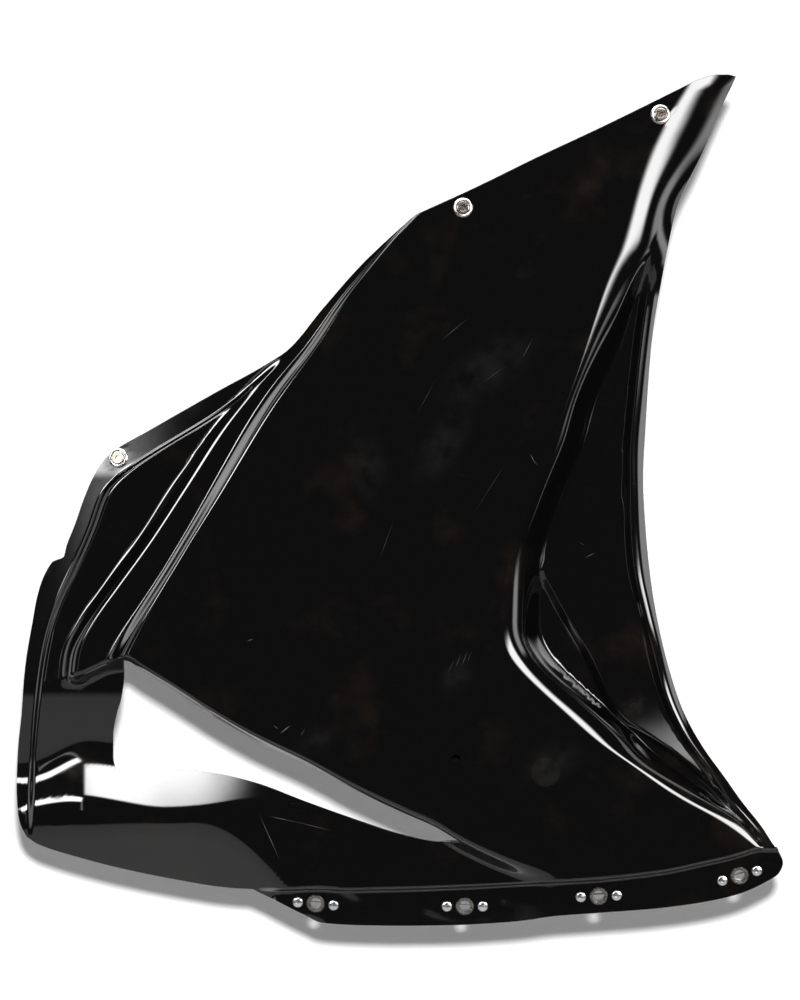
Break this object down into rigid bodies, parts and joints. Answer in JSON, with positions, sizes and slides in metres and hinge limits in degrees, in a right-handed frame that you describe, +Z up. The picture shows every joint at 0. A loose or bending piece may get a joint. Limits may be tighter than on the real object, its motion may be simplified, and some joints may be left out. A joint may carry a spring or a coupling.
{
  "type": "motorcycle side panel",
  "caption": "Right-hand race fairing side panel with a see-through window, a front duct, quarter-turn studs and a joggled bottom flange.",
  "frame": {"origin": "axis of the middle quarter-turn stud, at the back face of the moulding behind it", "axes": "+X forward on the motorcycle, +Z up, +Y inward toward the bike; the glossy face looks toward -Y"},
  "size_m": [0.599, 0.0854, 0.665],
  "materials": {
    "gelcoat": "glossy black gelcoat on glass fibre",
    "stud_steel": "turned stainless steel",
    "washer_alloy": "polished aluminium",
    "spring_steel": "spring steel wire and strip",
    "zinc_plate": "bright zinc plate",
    "rivet_alloy": "plain aluminium"
  },
  "bodies": {
    "panel": {"fairing_shell": "gelcoat", "seat_washer_front": "washer_alloy", "seat_washer_middle": "washer_alloy", "seat_washer_rear": "washer_alloy", "receptacle_1": "zinc_plate", "receptacle_2": "zinc_plate", "receptacle_3": "zinc_plate", "receptacle_4": "zinc_plate", "receptacle_spring_1": "spring_steel", "receptacle_spring_2": "spring_steel", "receptacle_spring_3": "spring_steel", "receptacle_spring_4": "spring_steel", "rivet_1a": "rivet_alloy", "rivet_1b": "rivet_alloy", "rivet_2a": "rivet_alloy", "rivet_2b": "rivet_alloy", "rivet_3a": "rivet_alloy", "rivet_3b": "rivet_alloy", "rivet_4a": "rivet_alloy", "rivet_4b": "rivet_alloy"},
    "stud_front": {"stud_front": "stud_steel", "retaining_ring_front": "spring_steel"},
    "stud_middle": {"stud_middle": "stud_steel", "retaining_ring_middle": "spring_steel"},
    "stud_rear": {"stud_rear": "stud_steel", "retaining_ring_rear": "spring_steel"}
  },
  "joints": [
    {"name": "stud_front_turn", "type": "hinge", "parent": "panel", "child": "stud_front", "pos_m": [0.154, 0.01059, 0.073], "axis": [0.0536, -0.9898, 0.1321], "range_deg": [0, 90]},
    {"name": "stud_middle_turn", "type": "hinge", "parent": "panel", "child": "stud_middle", "pos_m": [0, -0.00248, 0.00024], "axis": [0.0062, -0.9952, 0.0974], "range_deg": [0, 90]},
    {"name": "stud_rear_turn", "type": "hinge", "parent": "panel", "child": "stud_rear", "pos_m": [-0.269, 0.03851, -0.195], "axis": [-0.2204, -0.9689, 0.1125], "range_deg": [0, 90]}
  ]
}
